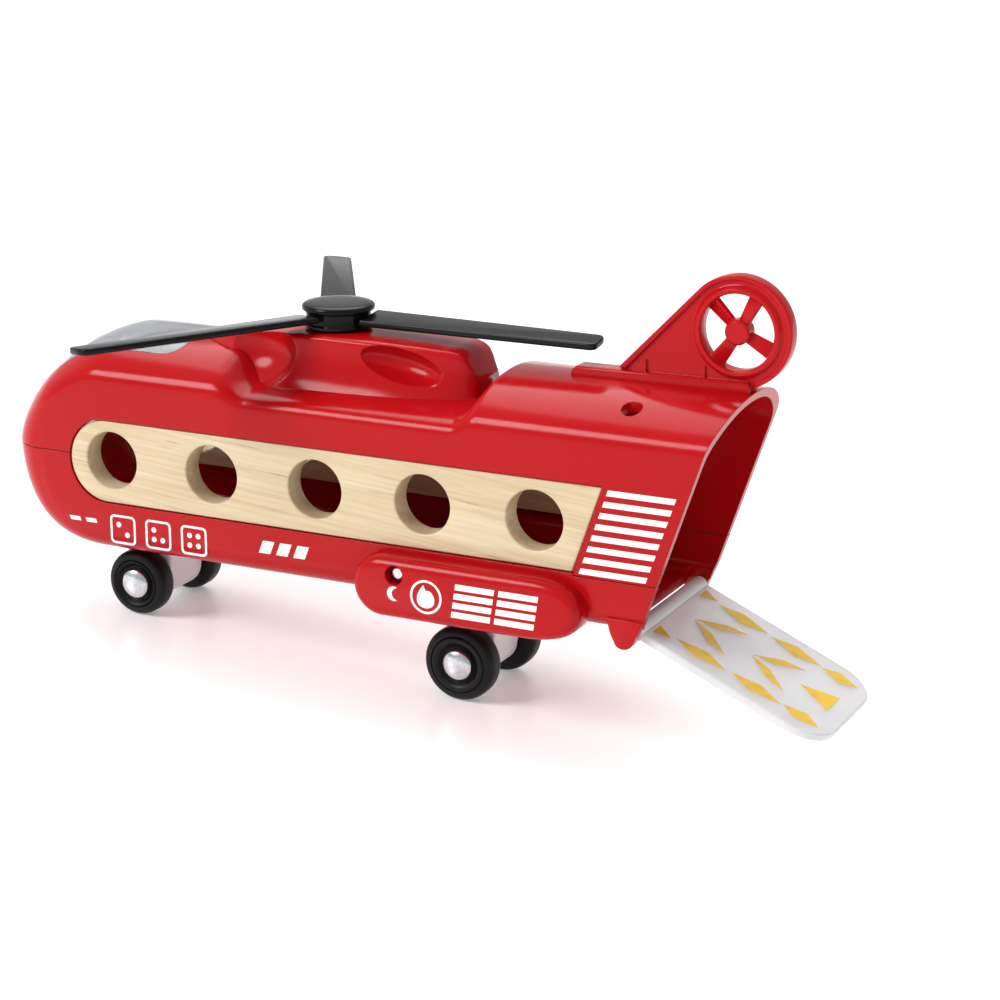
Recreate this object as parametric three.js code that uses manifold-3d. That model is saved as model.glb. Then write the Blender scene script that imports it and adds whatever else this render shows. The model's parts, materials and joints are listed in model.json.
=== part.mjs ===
// Toy transport helicopter with wooden window panels, a spinning rotor, rolling wheels and a
// fold-down tail ramp. Millimetres, +Z up, nose towards -X. The hull stands nose-down on its wheels,
// so every piece is drawn in the hull's own frame (x aft from the first window's centre, z up from
// the window line) inside one group, which is then tilted and set down on z = 0.
import * as THREE from "three";
import { mergeVertices } from "three/addons/utils/BufferGeometryUtils.js";
import Module from "manifold-3d";

const wasm = await Module();
wasm.setup();

// Driving dimensions.
const NOSE_DOWN = THREE.MathUtils.degToRad(5);
const GAP = 0.3;
const WALL = 3;
const HULL = {
  halfWidth: 33.5, bottom: -35, shoulder: 31.7, crown: 43.5,
  deckShoulder: 28.5, deckCrown: 33, cornerRadius: 9, shoulderRadius: 3,
  noseStart: -6, noseTip: -50, sideTip: -30, noseCentre: 2, tailEnd: 260,
};
const DECK = { front: [42, 56], rear: [136, 146] };
const NOSE_POWER = { across: 2.7, along: 2.2, over: 1.63, under: 2.4 };
const REAR_EDGE = { x: 217.9, slope: 0.343 };
const PARTING = { front: 1, step: 182.5, rear: -17 };
const PANEL = {
  frontCentre: -2.4, radius: 15.2, top: 14.5, bottom: -15.85,
  topEnd: 192.6, bottomEnd: 181.9, outer: 33.2, thickness: 9,
};
const WINDOW = { count: 5, pitch: 42, radius: 10.5 };
const SCREEN = { halfWidth: 23, rear: 22.5, corner: 7, low: -8 };
const ROTOR = {
  x: 76, bladePlane: 54.2, radius: 101, blades: 3, pitch: THREE.MathUtils.degToRad(6),
  rootWidth: 13.5, tipWidth: 11, thickness: 2.4, bossRadius: 11.5, shaftRadius: 2.5,
};
const SPONSON = { front: 102, rear: 187.5, top: -18, bottom: -40, outer: 41, inner: 24, edge: 4 };
const TAIL = {
  x: 226.3, z: 63.2, outer: 19, inner: 12.8, hub: 4.3, foot: 184.5, railFront: 167, railRear: 231,
};
const AXLES = {
  front: { x: -0.5, z: -50.2, wheel: 12.2, blockFrom: -11, blockTo: 10, round: 8.5 },
  rear: { x: 132.8, z: -60.6, wheel: 13.45, blockFrom: 122, blockTo: 146, round: 8 },
};
const WHEEL = { inner: 12, outer: 21.5, axleRadius: 2, capRadius: 5.6 };
const BLOCK_HALF_WIDTH = 11.3;
const RAMP = {
  x: 203, z: -35.5, length: 72, halfWidth: 28.6, corner: 14, thickness: 3, barrel: 3,
  pin: 1.2, pinReach: 32.3, open: THREE.MathUtils.degToRad(24),
};
const EAR = { inner: 29.2, low: -40.3 };
const ROOF_SCREW = { x: 198, y: 22, seat: 33 };
const SPONSON_SCREW = { x: 119, z: -24, seat: 36 };
const BELLY_PAD = { from: 30, to: 100, halfWidth: 20, depth: 1.2 };

// Materials.
const finish = (color, roughness, metalness = 0, opacity = 1) =>
  new THREE.MeshStandardMaterial({ color, roughness, metalness, opacity, transparent: opacity < 1 });
const RED = finish(0xc81e25, 0.25);
const WOOD = finish(0xdcb883, 0.6);
const BLACK = finish(0x17181a, 0.3);
const RUBBER = finish(0x1b1b1d, 0.7);
const STEEL = finish(0xc9ccd0, 0.25, 1);
const GREY = finish(0xc4c7cc, 0.4);
const CLEAR = finish(0xd4d8dc, 0.1, 0, 0.5);
const WHITE = finish(0xf2efe4, 0.35, 0, 0.85);

// Solids.
function solid(geometry) {
  const bare = new THREE.BufferGeometry();
  bare.setAttribute("position", geometry.getAttribute("position"));
  if (geometry.index) bare.setIndex(geometry.index);
  const merged = mergeVertices(bare, 1e-4);
  const corners = merged.index.array;
  const triangles = [];
  for (let i = 0; i < corners.length; i += 3) {
    const [a, b, c] = [corners[i], corners[i + 1], corners[i + 2]];
    if (a !== b && b !== c && a !== c) triangles.push(a, b, c);
  }
  const vertProperties = new Float32Array(merged.getAttribute("position").array);
  const made = new wasm.Manifold(
    new wasm.Mesh({ numProp: 3, vertProperties, triVerts: new Uint32Array(triangles) }),
  );
  if (made.volume() >= 0) return made;
  const turned = new Uint32Array(triangles).reverse();
  return new wasm.Manifold(new wasm.Mesh({ numProp: 3, vertProperties, triVerts: turned }));
}

function geometryOf(body) {
  const mesh = body.getMesh();
  const geometry = new THREE.BufferGeometry();
  geometry.setAttribute("position", new THREE.BufferAttribute(mesh.vertProperties, 3));
  geometry.setIndex(new THREE.BufferAttribute(mesh.triVerts, 1));
  geometry.computeVertexNormals();
  return geometry;
}

const joined = (...bodies) => bodies.reduce((sum, body) => sum.add(body));
const cut = (body, ...tools) => tools.reduce((rest, tool) => rest.subtract(tool), body);

function box(x0, x1, y0, y1, z0, z1) {
  const geometry = new THREE.BoxGeometry(x1 - x0, y1 - y0, z1 - z0);
  return solid(geometry.translate((x0 + x1) / 2, (y0 + y1) / 2, (z0 + z1) / 2));
}

function outline(points) {
  return new THREE.Shape(points.map(([x, y]) => new THREE.Vector2(x, y)));
}

// An (x, z) shape extruded across the hull from y0 to y1, with an optional rounded edge.
function across(shape, y0, y1, edge = 0, curveSegments = 6) {
  const geometry = new THREE.ExtrudeGeometry(shape, {
    depth: y1 - y0 - 2 * edge, curveSegments, bevelEnabled: edge > 0,
    bevelThickness: edge, bevelSize: edge, bevelOffset: -edge, bevelSegments: 2,
  });
  return solid(geometry.rotateX(Math.PI / 2).translate(0, y1 - edge, 0));
}

function upright(radius, x, y, z0, z1, segments = 20) {
  const geometry = new THREE.CylinderGeometry(radius, radius, z1 - z0, segments);
  return solid(geometry.rotateX(Math.PI / 2).translate(x, y, (z0 + z1) / 2));
}

function crossways(radius, x, z, y0, y1, segments = 20) {
  const geometry = new THREE.CylinderGeometry(radius, radius, y1 - y0, segments);
  return solid(geometry.translate(x, (y0 + y1) / 2, z));
}

// A profile of (radius, height) pairs turned about the local Y axis.
function turned(profile, segments = 28) {
  return new THREE.LatheGeometry(profile.map(([r, h]) => new THREE.Vector2(r, h)), segments);
}

// A closed skin through rings of equally many points.
function loft(rings) {
  const count = rings[0].length;
  const positions = rings.flat(2);
  const faces = [];
  for (let ring = 0; ring + 1 < rings.length; ring += 1) {
    for (let i = 0; i < count; i += 1) {
      const [a, b] = [ring * count + i, ring * count + ((i + 1) % count)];
      faces.push(a, a + count, b, b, a + count, b + count);
    }
  }
  for (const [ring, flip] of [[0, false], [rings.length - 1, true]]) {
    const centre = positions.length / 3;
    const middle = [0, 1, 2].map((k) => rings[ring].reduce((sum, p) => sum + p[k], 0) / count);
    positions.push(...middle);
    for (let i = 0; i < count; i += 1) {
      const [a, b] = [ring * count + i, ring * count + ((i + 1) % count)];
      faces.push(...(flip ? [centre, b, a] : [centre, a, b]));
    }
  }
  const geometry = new THREE.BufferGeometry();
  geometry.setAttribute("position", new THREE.Float32BufferAttribute(positions, 3));
  geometry.setIndex(faces);
  return solid(geometry);
}

// Hull.
const { smoothstep, lerp } = THREE.MathUtils;

// 1 where the roof is lowered round the pylon, 0 in front of it and behind it.
const deckAmount = (x) => smoothstep(x, ...DECK.front) - smoothstep(x, ...DECK.rear);

// Half of a cross-section, from the bottom centre to the crown, as (y, z) points.
function halfSection(x, inset) {
  const lowered = deckAmount(x);
  const width = HULL.halfWidth - inset;
  const bottom = HULL.bottom + inset;
  const shoulder = lerp(HULL.shoulder, HULL.deckShoulder, lowered) - inset;
  const crown = lerp(HULL.crown, HULL.deckCrown, lowered) - inset;
  const round = HULL.cornerRadius - inset;
  const points = [[0, bottom]];
  for (let i = 0; i <= 4; i += 1) {
    const angle = (i / 4) * (Math.PI / 2);
    const sideways = width - round + round * Math.sin(angle);
    points.push([sideways, bottom + round - round * Math.cos(angle)]);
  }
  const corner = new THREE.Vector2(width, shoulder);
  const pull = new THREE.Vector2(width * 0.55, crown);
  const along = pull.clone().sub(corner).setLength(HULL.shoulderRadius);
  const start = new THREE.Vector2(width, shoulder - HULL.shoulderRadius);
  const leave = corner.clone().add(along);
  const fillet = new THREE.QuadraticBezierCurve(start, corner, leave);
  const roof = new THREE.QuadraticBezierCurve(leave, pull, new THREE.Vector2(0, crown));
  for (const p of [...fillet.getPoints(2), ...roof.getPoints(4).slice(1)]) points.push([p.x, p.y]);
  return points;
}

// The nose is round seen from the side at every distance y from the middle, and reaches less far
// forward towards its side faces. So a ring ahead of the side faces is narrower than the hull.
function hullRing(x, inset) {
  const { noseStart, noseTip, sideTip, noseCentre, halfWidth } = HULL;
  const { across: planPower, along, over, under } = NOSE_POWER;
  const ahead = Math.max(0, noseStart - x);
  const sideReach = noseStart - sideTip - inset;
  const extra = sideTip - noseTip;
  const past = Math.max(0, ahead - sideReach) / extra;
  const narrowing = (1 - past ** along) ** (1 / planPower);
  const half = halfSection(x, inset).map(([fullY, z]) => {
    const y = fullY * narrowing;
    const outward = Math.min(1, y / (halfWidth - inset));
    const reach = sideReach + extra * (1 - outward ** planPower) ** (1 / along);
    const power = z > noseCentre ? over : under;
    const height = (1 - Math.min(1, ahead / reach) ** power) ** (1 / power);
    return [y, noseCentre + (z - noseCentre) * height];
  });
  const mirrored = half.slice(1, -1).reverse().map(([y, z]) => [-y, z]);
  return [...half, ...mirrored].map(([y, z]) => [x, y, z]);
}

function hull(inset) {
  const reach = HULL.noseStart - (HULL.noseTip + inset);
  const steps = 10;
  const stations = [];
  for (let i = 0; i < steps; i += 1) {
    stations.push(HULL.noseStart - reach * Math.cos(((i + 0.12) / steps) * (Math.PI / 2)));
  }
  stations.push(HULL.noseStart);
  for (const [from, to] of [DECK.front, DECK.rear]) {
    for (let i = 0; i <= 4; i += 1) stations.push(lerp(from, to, i / 4));
  }
  stations.push(HULL.tailEnd);
  return loft(stations.map((x) => hullRing(x, inset)));
}

const rearEdgeAt = (z) => REAR_EDGE.x + REAR_EDGE.slope * z;
const BEHIND = across(
  outline([[rearEdgeAt(-70), -70], [320, -70], [320, 90], [rearEdgeAt(90), 90]]), -60, 60,
);
const OUTER = cut(hull(0), BEHIND);
const SKIN = cut(OUTER, hull(WALL));
const CLEAR_OF_HULL = hull(-GAP);

// Side panel outline: round at the front, slanted with the tail at the rear, grown by margin.
function panelShape(margin) {
  const { frontCentre, radius, top, bottom, topEnd, bottomEnd } = PANEL;
  const middle = (top + bottom) / 2;
  const shape = new THREE.Shape();
  shape.moveTo(bottomEnd + margin, bottom - margin);
  shape.lineTo(topEnd + margin, top + margin);
  shape.lineTo(frontCentre, top + margin);
  shape.absarc(frontCentre, middle, radius + margin, Math.PI / 2, Math.PI * 1.5, false);
  return shape;
}

const panelOpenings = joined(
  across(panelShape(GAP), HULL.halfWidth - WALL - 1, HULL.halfWidth + 1, 0, 10),
  across(panelShape(GAP), -HULL.halfWidth - 1, -HULL.halfWidth + WALL + 1, 0, 10),
);

// Plan outline of the windscreen strip, with rounded rear corners, shrunk by margin.
function screenBlock(margin) {
  const half = SCREEN.halfWidth - margin;
  const rear = SCREEN.rear - margin;
  const radius = SCREEN.corner - margin;
  const shape = new THREE.Shape();
  shape.moveTo(-70, -half);
  shape.lineTo(rear - radius, -half);
  shape.absarc(rear - radius, radius - half, radius, -Math.PI / 2, 0, false);
  shape.absarc(rear - radius, half - radius, radius, 0, Math.PI / 2, false);
  shape.lineTo(-70, half);
  const low = SCREEN.low + margin;
  const geometry = new THREE.ExtrudeGeometry(shape, {
    depth: 80, bevelEnabled: false, curveSegments: 4,
  });
  return solid(geometry.translate(0, 0, low));
}

// Everything below the parting line: level along the panels, stepping down behind them.
function belowParting(margin) {
  const [front, step, rear] = [PARTING.front, PARTING.step, PARTING.rear].map((v) => v + margin);
  const line = [[-80, front], [step, front], [step, rear], [320, rear]];
  return across(outline([...line, [320, -80], [-80, -80]]), -60, 60);
}

const mastHole = upright(5.3, ROTOR.x, 0, 10, 60);
const bothSides = (make) => [make(-1), make(1)];

function upperShell() {
  const bosses = bothSides((side) =>
    upright(5.5, ROOF_SCREW.x, side * ROOF_SCREW.y, 20, ROOF_SCREW.seat + 0.5));
  const recesses = bothSides((side) =>
    upright(3.5, ROOF_SCREW.x, side * ROOF_SCREW.y, ROOF_SCREW.seat, 60));
  const bores = bothSides((side) =>
    upright(1.5, ROOF_SCREW.x, side * ROOF_SCREW.y, 18, ROOF_SCREW.seat + 1, 12));
  return cut(
    joined(SKIN, ...bosses),
    belowParting(GAP / 2), panelOpenings, screenBlock(0), mastHole, ...recesses, ...bores,
  );
}

function lowerShell() {
  const earShape = outline([[188, -30], [199.5, EAR.low], [210, EAR.low], [212, -30]]);
  const ears = bothSides((side) => cut(
    across(earShape, ...(side < 0 ? [-HULL.halfWidth, -EAR.inner] : [EAR.inner, HULL.halfWidth])),
    BEHIND,
  ));
  const pad = box(
    BELLY_PAD.from, BELLY_PAD.to, -BELLY_PAD.halfWidth, BELLY_PAD.halfWidth,
    HULL.bottom - BELLY_PAD.depth, HULL.bottom + 1,
  );
  const rampRoom = box(198.5, 240, -EAR.inner, EAR.inner, -60, -29);
  const pinEnd = RAMP.pinReach + GAP;
  const pinHole = crossways(RAMP.pin + GAP, RAMP.x, RAMP.z, -pinEnd, pinEnd, 16);
  const screwHoles = [
    ...Object.values(AXLES).map((axle) => upright(1.5, axle.x, 0, -45, -25, 12)),
    crossways(1.5, SPONSON_SCREW.x, SPONSON_SCREW.z, -60, 60, 12),
  ];
  return cut(
    joined(SKIN.intersect(belowParting(-GAP / 2)), ...ears, pad),
    panelOpenings, screenBlock(0), rampRoom, pinHole, ...screwHoles,
  );
}

const windscreen = () => SKIN.intersect(screenBlock(GAP));

function sidePanel(side) {
  const shape = panelShape(0);
  for (let i = 0; i < WINDOW.count; i += 1) {
    const hole = new THREE.Path();
    hole.absarc(i * WINDOW.pitch, 0, WINDOW.radius, 0, Math.PI * 2, true);
    shape.holes.push(hole);
  }
  const inner = PANEL.outer - PANEL.thickness;
  return across(shape, ...(side < 0 ? [-PANEL.outer, -inner] : [inner, PANEL.outer]), 0, 12);
}

// Pylon stations: x, ridge height, half width of the ridge, half width where it meets the deck.
const PYLON = [
  [20, 43, 5, 12], [34, 45.6, 12, 24], [48, 47.8, 16, 27], [62, 49.4, 17, 26], [76, 50, 16.5, 25],
  [90, 49.8, 16, 24], [104, 49.4, 15, 23], [120, 48.6, 13, 20], [130, 46.8, 11, 17],
  [135, 39, 8, 14],
];
const PYLON_BASE = 25;
// Dished hollows in the pylon's flanks: an air scoop ahead of the mast and a slim one behind it.
const SCOOPS = [
  { at: [53.5, 30, 44], radii: [21, 18.5, 15], lean: -0.05 },
  { at: [110, 20, 42.5], radii: [18, 11, 6.5], lean: 0.2 },
];

function pylonSkin(inset) {
  return loft(PYLON.map(([x, ridge, half, foot], index) => {
    const end = index === 0 ? inset : index === PYLON.length - 1 ? -inset : 0;
    const top = ridge - inset;
    const wide = Math.max(half - inset, 0.6);
    const low = Math.max(foot - inset, 2);
    const flank = new THREE.QuadraticBezierCurve(
      new THREE.Vector2(low, PYLON_BASE + 3),
      new THREE.Vector2(wide + (low - wide) * 0.15, PYLON_BASE + 6),
      new THREE.Vector2(wide, top - 1.6),
    ).getPoints(3).map((p) => [p.x, p.y]);
    const right = [[low, PYLON_BASE], ...flank, [wide * 0.75, top - 0.3]];
    const left = right.map(([y, z]) => [-y, z]).reverse();
    return [...right, [0, top], ...left].map(([y, z]) => [x + end, y, z]);
  }));
}

// The scoops on both sides, grown all round by growth.
function scoops(growth) {
  return bothSides((side) => joined(...SCOOPS.map(({ at: [x, y, z], radii, lean }) => {
    const grown = radii.map((radius) => radius + growth);
    const geometry = new THREE.SphereGeometry(1, 16, 8).scale(...grown).rotateY(lean);
    return solid(geometry.translate(x, side * y, z));
  })));
}

function rotorPylon() {
  const boss = upright(8.5, ROTOR.x, 0, 30, 48);
  const walls = cut(pylonSkin(0), cut(pylonSkin(WALL), ...scoops(WALL)));
  return cut(joined(walls, boss), CLEAR_OF_HULL, mastHole, ...scoops(0));
}

function sponson(side) {
  const { front, rear, top, bottom, outer, inner, edge } = SPONSON;
  const middle = (top + bottom) / 2;
  const radius = (top - bottom) / 2;
  const shape = new THREE.Shape();
  shape.moveTo(rear - 22, bottom);
  shape.quadraticCurveTo(rear, bottom, rear, middle);
  shape.quadraticCurveTo(rear, top, rear - 18, top);
  shape.lineTo(front + radius, top);
  shape.absarc(front + radius, middle, radius, Math.PI / 2, Math.PI * 1.5, false);
  const pod = across(shape, ...(side < 0 ? [-outer, -inner] : [inner, outer]), edge, 6);
  const recess = crossways(
    3.5, SPONSON_SCREW.x, SPONSON_SCREW.z,
    ...(side < 0 ? [-60, -SPONSON_SCREW.seat] : [SPONSON_SCREW.seat, 60]),
  );
  const bore = crossways(1.5, SPONSON_SCREW.x, SPONSON_SCREW.z, -60, 60, 12);
  return cut(pod, CLEAR_OF_HULL, recess, bore);
}

function tailFin() {
  const ringBand = cut(
    crossways(TAIL.outer, TAIL.x, TAIL.z, -3, 3, 32),
    crossways(TAIL.inner, TAIL.x, TAIL.z, -5, 5, 32),
  );
  const lean = Math.PI * 0.75;
  const tangent = [TAIL.x + TAIL.outer * Math.cos(lean), TAIL.z + TAIL.outer * Math.sin(lean)];
  const plateShape = outline([
    [TAIL.foot, 42], [TAIL.foot, 47.5], tangent, [TAIL.x, TAIL.z], [TAIL.railRear, 47],
    [TAIL.railRear, 42],
  ]);
  const plate = cut(
    across(plateShape, -2, 2), crossways(TAIL.inner, TAIL.x, TAIL.z, -5, 5, 32),
  );
  const rail = across(
    outline([[TAIL.railFront, 42], [TAIL.railFront + 3, 46.5], [TAIL.railRear, 47],
      [TAIL.railRear, 42]]), -4, 4, 0.8,
  );
  const spokes = [63, 136, 234, 333].map((degrees) => {
    const geometry = new THREE.BoxGeometry(TAIL.inner, 1.8, 3.6);
    geometry.rotateX(-0.35).translate(TAIL.inner / 2 + 1.5, 0, 0);
    geometry.rotateY(-THREE.MathUtils.degToRad(degrees));
    return solid(geometry.translate(TAIL.x, 0, TAIL.z));
  });
  const hub = crossways(TAIL.hub, TAIL.x, TAIL.z, -3, 3, 24);
  return cut(joined(plate, ringBand, rail, hub, ...spokes), CLEAR_OF_HULL);
}

function axleBlock({ x, z, blockFrom, blockTo, round }) {
  const top = HULL.bottom - GAP;
  const shape = new THREE.Shape();
  shape.moveTo(blockTo, top);
  shape.lineTo(blockFrom, top);
  shape.lineTo(x - round, z);
  shape.absarc(x, z, round, Math.PI, Math.PI * 2, false);
  const bore = crossways(WHEEL.axleRadius + GAP, x, z, -20, 20, 20);
  const screwHole = upright(1.5, x, 0, z + 6, 0, 12);
  return cut(across(shape, -BLOCK_HALF_WIDTH, BLOCK_HALF_WIDTH, 1, 8), bore, screwHole);
}

// A screw standing on z = 0 by its head, with its shank below.
function screw(headRadius, headHeight, shankRadius, length) {
  return turned([
    [0, -length], [shankRadius * 0.5, -length], [shankRadius, -length + 1.5], [shankRadius, 0],
    [headRadius, 0], [headRadius, headHeight * 0.5], [headRadius * 0.6, headHeight],
    [0, headHeight],
  ], 16).rotateX(Math.PI / 2);
}

const mastBushing = () => turned([
  [ROTOR.shaftRadius + GAP, 24], [5, 24], [5, 25.4], [8.5, 25.4], [8.5, 28.2], [5, 28.2], [5, 49.9],
  [ROTOR.shaftRadius + GAP, 49.9], [ROTOR.shaftRadius + GAP, 24],
]).rotateX(Math.PI / 2);

const rotorHub = () => turned([
  [0, 53], [2.8, 53], [2.8, 50.3], [12, 50.3], [12, 52], [ROTOR.bossRadius, 52],
  [ROTOR.bossRadius, 56.4], [12.9, 56.4], [12.9, 58.2], [12, 58.8], [7, 59.1], [0, 59.2],
], 28).rotateX(Math.PI / 2);

// A blade along +X from the hub's boss, tipped about its own length and rounded at its end.
function rotorBlade() {
  const { bossRadius, radius, rootWidth, tipWidth, thickness, pitch } = ROTOR;
  const shape = new THREE.Shape();
  shape.moveTo(bossRadius + 0.4, -rootWidth / 2);
  shape.lineTo(radius - 3, -tipWidth / 2);
  shape.quadraticCurveTo(radius, -tipWidth / 2, radius, -tipWidth / 2 + 3);
  shape.quadraticCurveTo(radius, tipWidth / 2, radius - 4.5, tipWidth / 2);
  shape.lineTo(bossRadius + 0.4, rootWidth / 2);
  const edge = 0.6;
  const geometry = new THREE.ExtrudeGeometry(shape, {
    depth: thickness - 2 * edge, curveSegments: 4, bevelEnabled: true, bevelThickness: edge,
    bevelSize: edge, bevelOffset: -edge, bevelSegments: 2,
  });
  return geometry.translate(0, 0, edge - thickness / 2).rotateX(pitch);
}

const rotorShaft = () => turned([
  [0, 19], [2, 19], [ROTOR.shaftRadius, 19.6], [ROTOR.shaftRadius, 52.6], [0, 52.6],
], 24).rotateX(Math.PI / 2);

const shaftClip = () => turned([
  [2.8, 21.6], [5.2, 21.6], [5.2, 23.2], [2.8, 23.2], [2.8, 21.6],
], 24).rotateX(Math.PI / 2);

function rampPanel() {
  const { length, halfWidth, corner, thickness, barrel, pin } = RAMP;
  const shape = new THREE.Shape();
  shape.moveTo(0, -halfWidth);
  shape.lineTo(length - corner, -halfWidth);
  shape.absarc(length - corner, corner - halfWidth, corner, -Math.PI / 2, 0, false);
  shape.absarc(length - corner, halfWidth - corner, corner, 0, Math.PI / 2, false);
  shape.lineTo(0, halfWidth);
  const sheet = new THREE.ExtrudeGeometry(shape, {
    depth: thickness, bevelEnabled: false, curveSegments: 8,
  });
  return cut(
    joined(
      solid(sheet.translate(0, 0, -thickness / 2)),
      crossways(barrel, 0, 0, -halfWidth, halfWidth, 20),
    ),
    crossways(pin + 2 * GAP, 0, 0, -50, 50, 20),
  );
}

// A tyre about the local Y axis, outer face at y = WHEEL.outer, recessed for its cap.
function tyre(radius) {
  const { inner, outer, axleRadius, capRadius } = WHEEL;
  const bore = axleRadius + GAP;
  return turned([
    [bore, inner], [radius - 2.4, inner], [radius - 0.5, inner + 1.6], [radius, inner + 3.4],
    [radius, outer - 3.4], [radius - 0.5, outer - 1.8], [radius - 2.4, outer - 0.2],
    [radius * 0.7, outer], [capRadius + GAP, outer - 0.6], [capRadius + GAP, outer - 2],
    [bore, outer - 2], [bore, inner],
  ], 24);
}

const wheelCap = () => turned([
  [0, WHEEL.outer - 1.7], [WHEEL.capRadius, WHEEL.outer - 1.7], [WHEEL.capRadius, WHEEL.outer - 0.6],
  [4.6, WHEEL.outer + 0.5], [2.6, WHEEL.outer + 1.2], [0, WHEEL.outer + 1.5],
], 24);

// Assembly.
const airframe = new THREE.Group();

function place(name, shape, material, x = 0, y = 0, z = 0) {
  const geometry = shape.isBufferGeometry ? shape : geometryOf(shape);
  const mesh = new THREE.Mesh(geometry, material);
  mesh.name = name;
  mesh.position.set(x, y, z);
  airframe.add(mesh);
  return mesh;
}

place("upper_shell", upperShell(), RED);
place("lower_shell", lowerShell(), RED);
place("windscreen", windscreen(), CLEAR);
place("rotor_pylon", rotorPylon(), RED);
place("tail_fin", tailFin(), RED);
place("mast_bushing", mastBushing(), GREY, ROTOR.x);
for (const [label, side] of [["left", -1], ["right", 1]]) {
  place(`${label}_side_panel`, sidePanel(side), WOOD);
  place(`${label}_sponson`, sponson(side), RED);
  place(
    `${label}_roof_screw`, screw(3, 2, 1.2, 11), STEEL,
    ROOF_SCREW.x, side * ROOF_SCREW.y, ROOF_SCREW.seat + GAP,
  );
  const sideScrew = place(
    `${label}_sponson_screw`, screw(3, 2, 1.2, 8), STEEL,
    SPONSON_SCREW.x, side * (SPONSON_SCREW.seat + GAP), SPONSON_SCREW.z,
  );
  sideScrew.rotation.x = (-side * Math.PI) / 2;
}
for (const [label, axle] of Object.entries(AXLES)) {
  place(`${label}_axle_block`, axleBlock(axle), GREY);
  const floorTop = HULL.bottom + WALL + GAP;
  place(`${label}_block_screw`, screw(3, 1.8, 1.2, floorTop - axle.z - 8), STEEL, axle.x, 0, floorTop);
  const axleRod = crossways(WHEEL.axleRadius, 0, 0, 2.3 - WHEEL.outer, WHEEL.outer - 2.3, 20);
  place(`${label}_axle`, axleRod, STEEL, axle.x, 0, axle.z);
  for (const [hand, side] of [["left", -1], ["right", 1]]) {
    for (const [piece, shape, material] of [
      ["tyre", tyre(axle.wheel), RUBBER],
      ["cap", wheelCap(), STEEL],
    ]) {
      const mesh = place(`${label}_${hand}_${piece}`, shape, material, axle.x, 0, axle.z);
      if (side < 0) mesh.rotation.x = Math.PI;
    }
  }
}
place("rotor_hub", rotorHub(), BLACK, ROTOR.x);
place("rotor_shaft", rotorShaft(), STEEL, ROTOR.x);
place("shaft_clip", shaftClip(), STEEL, ROTOR.x);
for (let i = 0; i < ROTOR.blades; i += 1) {
  const blade = place(`rotor_blade_${i + 1}`, rotorBlade(), BLACK, ROTOR.x, 0, ROTOR.bladePlane);
  blade.rotation.z = (i / ROTOR.blades) * Math.PI * 2;
}
const hingePin = crossways(RAMP.pin, 0, 0, -RAMP.pinReach, RAMP.pinReach, 16);
place("ramp_hinge_pin", hingePin, STEEL, RAMP.x, 0, RAMP.z);
place("ramp_panel", rampPanel(), WHITE, RAMP.x, 0, RAMP.z).rotation.y = RAMP.open;

// Tilted nose-down, standing on its wheels, with the middle of its length and width over the origin.
airframe.rotation.y = -NOSE_DOWN;
const reach = new THREE.Box3().setFromObject(airframe, true);
airframe.position.x = -(reach.min.x + reach.max.x) / 2;
airframe.position.z = -reach.min.z;

const helicopter = new THREE.Group();
helicopter.add(airframe);

export default helicopter;
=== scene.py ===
"""Toy transport helicopter: the finished surfaces, materials, floor, light and camera.

Shapes are drawn in millimetres in the hull's own frame (x aft from the first window's centre,
y to the right side, z up from the window line) and carried into the row frame by HULL.
"""
import json
import math

import bmesh
import bpy
from mathutils import Matrix, Vector


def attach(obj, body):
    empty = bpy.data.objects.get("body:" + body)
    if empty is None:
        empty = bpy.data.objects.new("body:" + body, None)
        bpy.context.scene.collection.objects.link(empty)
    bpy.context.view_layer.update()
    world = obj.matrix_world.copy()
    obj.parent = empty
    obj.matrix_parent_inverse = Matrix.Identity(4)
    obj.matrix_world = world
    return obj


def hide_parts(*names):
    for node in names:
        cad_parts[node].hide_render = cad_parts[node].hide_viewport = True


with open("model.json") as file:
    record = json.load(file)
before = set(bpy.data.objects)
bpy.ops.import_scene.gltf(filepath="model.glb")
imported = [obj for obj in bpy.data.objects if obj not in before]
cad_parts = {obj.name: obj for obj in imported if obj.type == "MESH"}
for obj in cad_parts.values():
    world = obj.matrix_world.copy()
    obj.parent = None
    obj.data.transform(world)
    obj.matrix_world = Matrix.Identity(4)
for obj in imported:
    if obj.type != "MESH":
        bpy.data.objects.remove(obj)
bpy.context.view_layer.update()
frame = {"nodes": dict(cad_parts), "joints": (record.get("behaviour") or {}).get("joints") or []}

MM = 0.001
NOSE_DOWN = math.radians(5)
FRONT_AXLE = Vector((-0.5, 0, -50.2))
REAR_AXLE = Vector((132.8, 0, -60.6))
ROTOR_X = 76
BLADE_Z = 54.2
RAMP_HINGE = Vector((203, 0, -35.5))
RAMP_OPEN = math.radians(24)
SIDES = {"left": -1, "right": 1}

joint_at = {joint["name"]: Vector(joint["pos_m"]) for joint in frame["joints"]}
TILT = Matrix.Rotation(-NOSE_DOWN, 4, "Y")
HULL = Matrix.Translation(joint_at["front_wheels_roll"] - TILT @ (FRONT_AXLE * MM)) @ TILT
HULL_MM = HULL @ Matrix.Scale(MM, 4)


# ---------------------------------------------------------------- camera

CAMERA_AT = Vector((518.1, -767.4, 249.8))
CAMERA_RIGHT = Vector((0.8966, 0.4428, 0.0))
CAMERA_UP = Vector((-0.1266, 0.2563, 0.9583))
CAMERA_ROLL = math.radians(-0.11)
LENS, SENSOR_WIDTH = 92.48, 36


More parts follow.
